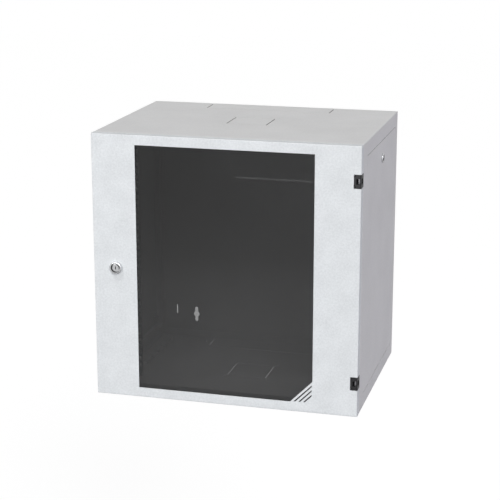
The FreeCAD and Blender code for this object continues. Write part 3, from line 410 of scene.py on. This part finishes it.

# %% [markdown]
# The hinge pins sit deep in their small windows and look a good deal darker than other steel, so they get
# darker tones: painted shade for the depth they sit at.

# %% Pins with painted shade
# The darker tones are painted shade for pins that sit deep in their windows.
painted_shade_pin = plated("painted_shade_pin", 0.002, (1, 1, 0.1), ((0.24, 0.24, 0.25), (0.38, 0.38, 0.39)), (0.46, 0.32),
                  0.00002)

# %% [markdown]
# A real key slot is deep, has small plates in it and looks nearly black. The slot here is a plain shallow
# cut that would shine, so its darkness is painted on: each plug has a chrome of its own, and a group measures
# how deep a point lies below the plug's face. The colour is toned down where that is more than a third of a
# millimetre or so. The group is told the way each plug faces and where its face is.

# %% Dark key slots
skin, slot_tone = 0.0003, 0.05
key_slot_shade, begin, end = new_group(
    "key_slot_shade", "ShaderNodeTree", {"Coordinates": "Vector", "Way": (0, -1, 0), "Face": 0.4},
    {"Shade": "Float"})
rise = add_node(key_slot_shade, "ShaderNodeVectorMath", operation="DOT_PRODUCT")
fill(key_slot_shade, rise.inputs[0], begin["Coordinates"])
fill(key_slot_shade, rise.inputs[1], begin["Way"])
sunk = maths(key_slot_shade, "SUBTRACT", begin["Face"], rise.outputs["Value"])
fill(key_slot_shade, end["Shade"], levels(key_slot_shade, sunk, 1.0, slot_tone, skin, 2 * skin))


def plug_chrome(plug, way):
    """Chrome for a plug that faces way, with a dark key slot."""
    material = plated(f"{plug}_chrome", *chrome_look)
    tree = material.node_tree
    group = add_node(tree, "ShaderNodeGroup", node_tree=key_slot_shade)
    fill(tree, group.inputs["Coordinates"], add_node(tree, "ShaderNodeTexCoord").outputs["Object"])
    fill(tree, group.inputs["Way"], way)
    fill(tree, group.inputs["Face"], max(Vector(corner).dot(way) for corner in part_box(plug)))
    metal = first_node(tree, "BSDF_PRINCIPLED").inputs["Base Color"]
    fill(tree, metal, add_node(tree, "ShaderNodeVectorMath", operation="SCALE",
                               Vector=metal.links[0].from_socket, Scale=group.outputs["Shade"]).outputs[0])
    return material


plug_finish = {plug: plug_chrome(plug, Vector(way)) for plug, way in (
    ("lock_plug", (0, -1, 0)), ("side_lock_plug_left", (-1, 0, 0)), ("side_lock_plug_right", (1, 0, 0)))}

# %% [markdown]
# ## Each piece gets its finish
#
# The record names a finish slot for each piece. The door frame is the one powder-coated piece of the door,
# so it takes the door's own coat. The hinge pins take the darker steel with painted shade, and each plug its own
# chrome.

# %% Dress the pieces
own_finish = {"door_frame": door_coat, "hinge_pin_upper": painted_shade_pin, "hinge_pin_lower": painted_shade_pin, **plug_finish}
finish_of = {"powder_coat": body_coat, "tinted_glass": tinted_glass, "foam_tape": foam, "bumper_rubber": rubber,
             "black_zinc": black_zinc, "chrome": chrome, "zinc_plate": zinc_plate, "bright_zinc": bright_zinc}
slot_of = {part["node"]: part["material_slot"] for part in frame["record"]["subparts"]}
body_of = {node: body for body, nodes in frame["record"]["behaviour"]["bodies"].items() for node in nodes}
for node, slot in slot_of.items():
    for place in frame["nodes"][node].material_slots:
        place.material = own_finish.get(node, finish_of[slot])
    print(node, "in", slot)

# %% [markdown]
# ## Rounded folds
#
# A press brake leaves a small round on the outside of every fold, and that round is what draws a bright
# line along the edge of a painted sheet. The sheets that make the cabinet's outer corners get it: a copy of
# each is merged, its flat faces are joined up, and the long edges that lie on two sides of its box are
# bevelled in a few steps. The round is about as large as the sheet is thick and only takes material away, so
# the cabinet's own box stays as it was.
#
# A narrow slit in a real sheet looks dark, because little light gets into it. The lamps here fill it more
# than that, so a few faces are made black to stand in for the shade. They aren't another coating. In the top
# and the bottom they are the slits' walls that run from front to back, and on each side panel the upper half
# of the top fold's round, which lies in the gap below the frame and shows when the panel is tilted out.

# %% Merged copies
def merged(mesh, together=1e-6):
    """The mesh opened for editing, with corners that lie together made one."""
    shape = bmesh.new()
    shape.from_mesh(mesh)
    bmesh.ops.remove_doubles(shape, verts=shape.verts, dist=together)
    return shape


def write_back(shape, mesh):
    shape.to_mesh(mesh)
    shape.free()


def stand_for(piece, node, crease=35):
    """The piece takes a CAD node's place: its body. Bends under crease degrees look smooth."""
    bpy.context.scene.collection.objects.link(piece)
    piece.data.shade_smooth()
    piece.data.set_sharp_from_angle(angle=math.radians(crease))
    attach(piece, body_of[node])
    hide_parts(node)
    print(piece.name, len(piece.data.polygons), "faces")


print("ready to copy", len(slot_of), "pieces")

# %% Which faces stay dark
fold_radius = 0.0012


def slit_side(side, high, shortest=0.004, longest=0.1):
    """A wall of a slit that runs from front to back: it faces straight left or right and is short."""
    depths = [corner.co.y for corner in side.verts]
    return abs(side.normal.x) > 0.99 and shortest < max(depths) - min(depths) < longest


def upper_round(side, high):
    """The upper half of the round on a side panel's upper fold, without the flat top."""
    near_top = all(high[2] - corner.co.z < 1.1 * fold_radius for corner in side.verts)
    return near_top and side.normal.z > math.sqrt(0.5) and abs(side.normal.x) > 0.05


print("folds are rounded by", 1000 * fold_radius, "mm")

# %% Round the outer folds
def on_box(corner, box, near=1e-5):
    """The sides of the box that a corner lies on, each as (axis, whether it is the far one)."""
    return {(i, far) for i in range(3) for far, end in enumerate(box) if abs(corner.co[i] - end[i]) < near}


def round_folds(name, node, dark, shortest=0.3, steps=6, crease=12):
    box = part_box(node)
    mesh = frame["nodes"][node].data.copy()
    shape = merged(mesh)
    bmesh.ops.dissolve_limit(shape, angle_limit=math.radians(1), verts=shape.verts, edges=shape.edges)
    folds = [edge for edge in shape.edges if edge.calc_length() > shortest
             and len(on_box(edge.verts[0], box) & on_box(edge.verts[1], box)) == 2]
    bmesh.ops.bevel(shape, geom=folds, offset=fold_radius, segments=steps, profile=0.5, affect="EDGES")
    if dark:
        # Painted shade: these faces take the black zinc finish only for its black, not as a coating.
        mesh.materials.append(black_zinc)
        shape.normal_update()
        for side in shape.faces:
            side.material_index = int(dark(side, box[1]))
    write_back(shape, mesh)
    mesh.name = name
    print(len(folds), "folds")
    stand_for(bpy.data.objects.new(name, mesh), node, crease)


for node, dark in (("door_frame", None), ("top_panel", slit_side), ("bottom_panel", slit_side),
                   ("side_frame_left", None), ("side_frame_right", None),
                   ("side_panel_left", upper_round), ("side_panel_right", upper_round)):
    round_folds(f"{node}_sheet", node, dark)

# %% [markdown]
# ## Threaded parts
#
# The cabinet is held together by welded studs, nuts, bolts and screws in a few sizes. Each kind repeats,
# so each is one Geometry Nodes tree with named sizes. The thread is a rod whose rings are pulled in by a
# wave that climbs once round for each pitch. A hexagon is a six-sided rod met by two flat cones, which
# bevel its corners as a lathe does. All of them stand on z = 0 and point up.

# %% Thread and hexagon trees
def tree_of(name, **sizes):
    """A shape's tree, with its sizes as inputs."""
    return new_group(name, "GeometryNodeTree", sizes, {"Geometry": "Geometry"})


def moved(tree, shape, z, **values):
    """The shape lifted by z."""
    lift = add_node(tree, "ShaderNodeCombineXYZ", Z=z).outputs[0]
    return add_node(tree, "GeometryNodeTransform", Geometry=shape, Translation=lift, **values).outputs[0]


def combined(tree, operation, *shapes):
    """Shapes cut from or met with each other; the last ones all go into the second input."""
    node = add_node(tree, "GeometryNodeMeshBoolean", operation=operation, solver="EXACT")
    first = 0 if operation == "DIFFERENCE" else 1
    for place, shape in enumerate(shapes):
        tree.links.new(shape, node.inputs[min(first + place, 1)])
    return node.outputs["Mesh"]


threaded_rod, begin, end = tree_of("threaded_rod", Length=0.008, Width=0.004, Pitch=0.0007)
tree = threaded_rod
rings_per_turn = 4.0
turns = maths(tree, "DIVIDE", begin["Length"], begin["Pitch"])
rod = add_node(tree, "GeometryNodeMeshCylinder", Vertices=16, Depth=begin["Length"],
               Side_Segments=maths(tree, "CEIL", maths(tree, "MULTIPLY", turns, rings_per_turn)),
               Radius=maths(tree, "DIVIDE", begin["Width"], 2.0)).outputs["Mesh"]
point = tree.nodes.new("GeometryNodeInputPosition").outputs[0]
at = add_node(tree, "ShaderNodeSeparateXYZ", Vector=point).outputs
round_it = maths(tree, "DIVIDE", maths(tree, "ARCTAN2", at["Y"], at["X"]), math.tau)
climb = maths(tree, "SUBTRACT", maths(tree, "DIVIDE", at["Z"], begin["Pitch"]), round_it)
wave = maths(tree, "MULTIPLY", maths(tree, "PINGPONG", climb, 0.5), 2.0)
to_end = maths(tree, "SUBTRACT", maths(tree, "DIVIDE", turns, 2.0),
               maths(tree, "ABSOLUTE", maths(tree, "DIVIDE", at["Z"], begin["Pitch"])))
groove = maths(tree, "MAXIMUM", wave, maths(tree, "SUBTRACT", 1.0, to_end))
pull = maths(tree, "MULTIPLY", groove, maths(tree, "DIVIDE", maths(tree, "MULTIPLY", begin["Pitch"], -1.0),
                                             begin["Width"]))
inwards = vectors(tree, "MULTIPLY", point, add_node(tree, "ShaderNodeCombineXYZ", X=pull, Y=pull).outputs[0])
cut_rod = add_node(tree, "GeometryNodeSetPosition", Geometry=rod, Offset=inwards).outputs[0]
fill(tree, end["Geometry"], moved(tree, cut_rod, maths(tree, "DIVIDE", begin["Length"], 2.0)))

hexagon, begin, end = tree_of("bevelled_hexagon", Length=0.004, Width=0.01)
tree = hexagon
bevel_share, bevel_slope = 0.05, math.sqrt(3)
edge = maths(tree, "MULTIPLY", begin["Width"], bevel_share)
tall = maths(tree, "MULTIPLY_ADD", edge, 2.0, begin["Length"])
tip = maths(tree, "MULTIPLY", begin["Width"], (1 - bevel_share) / 2 - bevel_share * bevel_slope)
block = add_node(tree, "GeometryNodeMeshCylinder", Vertices=6, Depth=begin["Length"],
                 Radius=maths(tree, "DIVIDE", begin["Width"], math.sqrt(3))).outputs["Mesh"]
cone = add_node(tree, "GeometryNodeMeshCone", Vertices=24, Depth=tall, Radius_Top=tip,
                Radius_Bottom=maths(tree, "MULTIPLY_ADD", tall, bevel_slope, tip)).outputs["Mesh"]
fill(tree, end["Geometry"], combined(
    tree, "INTERSECT", moved(tree, block, maths(tree, "DIVIDE", begin["Length"], 2.0)),
    moved(tree, cone, maths(tree, "MULTIPLY", edge, -1.0)),
    moved(tree, cone, maths(tree, "ADD", begin["Length"], edge), Rotation=(math.pi, 0, 0))))
print("trees", threaded_rod.name, hexagon.name)

# %% [markdown]
# A nut is the hexagon with a bore. A bolt is the hexagon with a rod set into it. A machine screw has a low
# domed head with a cross sunk in it, made by letting the head's rim fall away and cutting out two bars.

# %% Nut, bolt and screw trees
def use(tree, group, **values):
    """Another tree as one node."""
    node = add_node(tree, "GeometryNodeGroup", node_tree=group)
    for label, content in values.items():
        fill(tree, node.inputs[label], content)
    return node.outputs[0]


def with_rod(tree, head, begin, width):
    """A head, and a rod set half its height into it, that reaches the whole length."""
    half_head = maths(tree, "DIVIDE", begin["Head"], 2.0)
    rod = use(tree, threaded_rod, Length=maths(tree, "SUBTRACT", begin["Length"], half_head), Width=width,
              Pitch=begin["Pitch"])
    joined = tree.nodes.new("GeometryNodeJoinGeometry")
    for shape in (head, moved(tree, rod, half_head)):
        tree.links.new(shape, joined.inputs[0])
    return joined.outputs[0]


hex_nut, begin, end = tree_of("hex_nut", Length=0.0032, Width=0.007, Bore=0.0041)
tree = hex_nut
hole = add_node(tree, "GeometryNodeMeshCylinder", Vertices=24, Radius=maths(tree, "DIVIDE", begin["Bore"], 2.0),
                Depth=maths(tree, "MULTIPLY", begin["Length"], 3.0)).outputs["Mesh"]
fill(tree, end["Geometry"], combined(
    tree, "DIFFERENCE", use(tree, hexagon, Length=begin["Length"], Width=begin["Width"]), hole))

hex_bolt, begin, end = tree_of("hex_bolt", Length=0.019, Width=0.01, Head=0.004, Rod=0.006, Pitch=0.001)
tree = hex_bolt
head = use(tree, hexagon, Length=begin["Head"], Width=begin["Width"])
fill(tree, end["Geometry"], with_rod(tree, head, begin, begin["Rod"]))

cross_screw, begin, end = tree_of("cross_screw", Length=0.0094, Width=0.007, Head=0.0014, Rod=0.004,
                                  Pitch=0.0007)
tree = cross_screw
dome_share = 0.55
cross_span, cross_width, cross_depth = 0.55, 0.11, 1.2
disc = add_node(tree, "GeometryNodeMeshCylinder", Vertices=24, Fill_Segments=4, fill_type="TRIANGLE_FAN",
                Radius=maths(tree, "DIVIDE", begin["Width"], 2.0), Depth=begin["Head"]).outputs["Mesh"]
at = tree.nodes.new("GeometryNodeInputPosition").outputs[0]
flat = vectors(tree, "MULTIPLY", at, (1, 1, 0))
from_middle = add_node(tree, "ShaderNodeVectorMath", operation="LENGTH", Vector=flat).outputs["Value"]
out = maths(tree, "DIVIDE", from_middle, maths(tree, "DIVIDE", begin["Width"], 2.0))
outer_face = maths(tree, "LESS_THAN", add_node(tree, "ShaderNodeSeparateXYZ", Vector=at).outputs["Z"], 0.0)
fall = maths(tree, "MULTIPLY", maths(tree, "MULTIPLY", maths(tree, "POWER", out, 2.0), outer_face),
             maths(tree, "MULTIPLY", begin["Head"], dome_share))
dome_head = add_node(tree, "GeometryNodeSetPosition", Geometry=disc,
                     Offset=add_node(tree, "ShaderNodeCombineXYZ", Z=fall).outputs[0]).outputs[0]
whole_head = add_node(tree, "ShaderNodeCombineXYZ", X=begin["Width"], Y=begin["Width"],
                      Z=begin["Head"]).outputs[0]
bars = [add_node(tree, "GeometryNodeMeshCube", Size=vectors(tree, "MULTIPLY", whole_head, bar)).outputs["Mesh"]
        for bar in ((cross_span, cross_width, cross_depth), (cross_width, cross_span, cross_depth))]
head = combined(tree, "DIFFERENCE", moved(tree, dome_head, maths(tree, "DIVIDE", begin["Head"], 2.0)), *bars)
fill(tree, end["Geometry"], with_rod(tree, head, begin, begin["Rod"]))
print("trees", hex_nut.name, hex_bolt.name, cross_screw.name)

# %% [markdown]
# ## Setting the threaded parts
#
# The cabinet already holds a plain solid for each of them, so their places, lengths and widths are read
# from those solids. One point is set at the foot of each solid, with the way it faces, and a row tree sets
# the shape on every point. The result is kept as plain mesh that rides with the same body.

# %% Row helpers
def solids_of(node):
    """(lowest corner, highest corner) of each separate solid in a CAD node, in an order that never changes."""
    loose = merged(frame["nodes"][node].data)
    waiting, found = set(loose.verts), []
    while waiting:
        reached = [waiting.pop()]
        for corner in reached:
            near = {edge.other_vert(corner) for edge in corner.link_edges} & waiting
            waiting -= near
            reached += near
        found.append([Vector([pick(corner.co[i] for corner in reached) for i in range(3)])
                      for pick in (min, max)])
    loose.free()
    return sorted(found, key=lambda ends: tuple(ends[0]))


def row_tree(shape):
    """A tree that sets the shape on each point, along the way the point faces."""
    sizes = {socket.name: socket.default_value for socket in shape.interface.items_tree
             if socket.in_out == "INPUT"}
    tree, begin, end = new_group(f"row_of_{shape.name}", "GeometryNodeTree",
                                 {"Geometry": "Geometry", "Finish": "Material", "Turn": 0.0, **sizes},
                                 {"Geometry": "Geometry"})
    turn = add_node(tree, "ShaderNodeCombineXYZ", Z=begin["Turn"]).outputs[0]
    one = moved(tree, use(tree, shape, **{label: begin[label] for label in sizes}), 0.0, Rotation=turn)
    way = add_node(tree, "GeometryNodeInputNamedAttribute", data_type="FLOAT_VECTOR", Name="way").outputs[0]
    along = add_node(tree, "FunctionNodeAlignRotationToVector", axis="Z", Vector=way).outputs[0]
    row = add_node(tree, "GeometryNodeInstanceOnPoints", Points=begin["Geometry"], Instance=one, Rotation=along)
    plain = add_node(tree, "GeometryNodeRealizeInstances", Geometry=row.outputs[0])
    dressed = add_node(tree, "GeometryNodeSetMaterial", Geometry=plain.outputs[0], Material=begin["Finish"])
    fill(tree, end["Geometry"], dressed.outputs[0])
    return tree


def make_row(name, shape, node, facing, turn=0, **sizes):
    """Sets the shape on each solid of a CAD node; facing tells its way from the solid's middle."""
    feet, ways = [], []
    for low, high in solids_of(node):
        middle, half = (low + high) / 2, (high - low) / 2
        way = facing(middle)
        reach = abs(half.dot(way))
        width = 2 * min(side for side, along in zip(half, way) if not along)
        feet.append(middle - reach * way)
        ways.extend(way)
    mesh = bpy.data.meshes.new(name)
    mesh.from_pydata(feet, [], [])
    mesh.attributes.new("way", "FLOAT_VECTOR", "POINT").data.foreach_set("vector", ways)
    piece = bpy.data.objects.new(name, mesh)
    bpy.context.scene.collection.objects.link(piece)
    modifier = piece.modifiers.new(name, "NODES")
    modifier.node_group = row_of[shape.name]
    given = {"Finish": finish_of[slot_of[node]], "Turn": math.radians(turn), "Length": 2 * reach,
             "Width": width, **{label.capitalize(): size for label, size in sizes.items()}}
    for socket in modifier.node_group.interface.items_tree:
        if socket.in_out == "INPUT" and socket.name in given:
            modifier[socket.identifier] = given[socket.name]
    plain = bpy.data.meshes.new_from_object(piece.evaluated_get(bpy.context.evaluated_depsgraph_get()))
    bpy.data.objects.remove(piece)
    stand_for(bpy.data.objects.new(name, plain), node)


def backward(middle):
    return Vector((0, 1, 0))


def forward(middle):
    return Vector((0, -1, 0))


def outward(middle):
    return Vector((math.copysign(1, middle.x), 0, 0))


def inward(middle):
    return -outward(middle)


row_of = {shape.name: row_tree(shape) for shape in (threaded_rod, hex_nut, hex_bolt, cross_screw)}
print("rows", sorted(row_of))

# %% [markdown]
# Eighteen studs and nuts hold the glass retainers, eight bolts and nuts hold the rails' brackets, an earth
# stud stands on each side panel, four screws hold the hinges' brackets, and each lock has a nut on its
# barrel and a screw in its tail. Pitches are the standard ones for their widths.

# %% Set every threaded part
make_row("door_stud_row", threaded_rod, "door_studs", backward, pitch=0.0007)
make_row("door_nut_row", hex_nut, "door_nuts", backward, turn=30, bore=0.0041)
make_row("rail_bolt_row", hex_bolt, "rail_bolts", outward, head=0.004, rod=0.006, pitch=0.001)
make_row("rail_nut_row", hex_nut, "rail_nuts", outward, bore=0.0061)
make_row("bracket_screw_row", cross_screw, "hinge_bracket_screws", backward, head=0.0014, rod=0.004,
         pitch=0.0007)
make_row("cam_screw", cross_screw, "lock_cam_screw", forward, head=0.002, rod=0.003, pitch=0.0005)
make_row("barrel_nut", hex_nut, "lock_nut", backward, bore=0.0191)
for hand in ("left", "right"):
    make_row(f"earth_rod_{hand}", threaded_rod, f"earth_stud_{hand}", inward, pitch=0.001)
    make_row(f"side_cam_screw_{hand}", cross_screw, f"side_lock_cam_screw_{hand}", outward, head=0.002,
             rod=0.003, pitch=0.0005)
    make_row(f"side_barrel_nut_{hand}", hex_nut, f"side_lock_nut_{hand}", outward, bore=0.0151)

# %% [markdown]
# ## Lock collars
#
# A lock's housing is a turned part: a collar with a rounded shoulder and a flat crest, a groove round the
# key plug, and a barrel that goes through the sheet. The groove's outer wall and its edge are made black, as
# painted shade and painted reflection: they stand in for the shade in the groove and the dark room that so
# smooth a wall would mirror, and draw a dark crescent. A lathe makes the shape from half an outline, and so
# does this cell: the outline's corners are (distance from the axis, height above the sheet), in metres, and a
# loop carries them round the axis.

# %% Turn the housings
def turned(name, node, outline, way, sheet_face, dark, steps=72):
    """Carries a closed outline round the axis of a CAD node; heights rise along way from the sheet's face.

    The two sides of the outline that start at the corner dark and at the next one are made black.
    """
    low, high = (Vector(corner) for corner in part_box(node))
    axis = (low + high) / 2
    axis += way * (sheet_face - axis.dot(way))
    across = Vector((0, 0, 1))
    over = way.cross(across)
    corners = [axis + way * rise + radius * (across * math.cos(turn) + over * math.sin(turn))
               for turn in (math.tau * step / steps for step in range(steps)) for radius, rise in outline]
    count, first_dark = len(outline), outline.index(dark)
    faces = [(step * count + i, step * count + (i + 1) % count,
              (step + 1) % steps * count + (i + 1) % count, (step + 1) % steps * count + i)
             for step in range(steps) for i in range(count)]
    mesh = bpy.data.meshes.new(name)
    mesh.from_pydata(corners, [], faces)
    # The black zinc on the groove's wall and edge is painted shade and painted reflection, not a coating.
    for finish in (chrome, black_zinc):
        mesh.materials.append(finish)
    for side in mesh.polygons:
        side.material_index = int(side.index % count - first_dark in (0, 1))
    shape = bmesh.new()
    shape.from_mesh(mesh)
    bmesh.ops.recalc_face_normals(shape, faces=shape.faces)
    write_back(shape, mesh)
    stand_for(bpy.data.objects.new(name, mesh), node)


def housing(name, node, way, sheet_face, shoulder, groove, groove_floor, bore, barrel, straight=0.7):
    """The collar's width and height and the barrel's depth are those of the CAD node.

    The collar's rim goes straight up for the share straight of its height, and is rounded from there.
    """
    low, high = (Vector(corner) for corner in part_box(node))
    end, crest = (height - sheet_face for height in sorted((low.dot(way), high.dot(way))))
    collar, edge = (high.z - low.z) / 2, 0.3 * shoulder
    rounded = [(collar - shoulder + shoulder * math.cos(math.radians(turn)),
                crest * (straight + (1 - straight) * math.sin(math.radians(turn)))) for turn in range(0, 91, 15)]
    outline = [(collar, 0), *rounded, (groove + edge, crest), (groove, crest - edge), (groove, groove_floor),
               (bore, groove_floor), (bore, end), (barrel, end), (barrel, 0)]
    turned(name, node, outline, way, sheet_face, dark=(groove + edge, crest))


housing("lock_collar", "lock_housing", Vector((0, -1, 0)), -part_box("door_frame")[0][1],
        shoulder=0.002, groove=0.010, groove_floor=0.0015, bore=0.00756, barrel=0.0095)
for hand, side in (("left", -1), ("right", 1)):
    sheet_face = max(abs(corner[0]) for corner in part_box(f"side_panel_{hand}"))
    housing(f"side_lock_collar_{hand}", f"side_lock_housing_{hand}", Vector((side, 0, 0)), sheet_face,
            shoulder=0.0014, groove=0.0072, groove_floor=0.0008, bore=0.00555, barrel=0.0075)
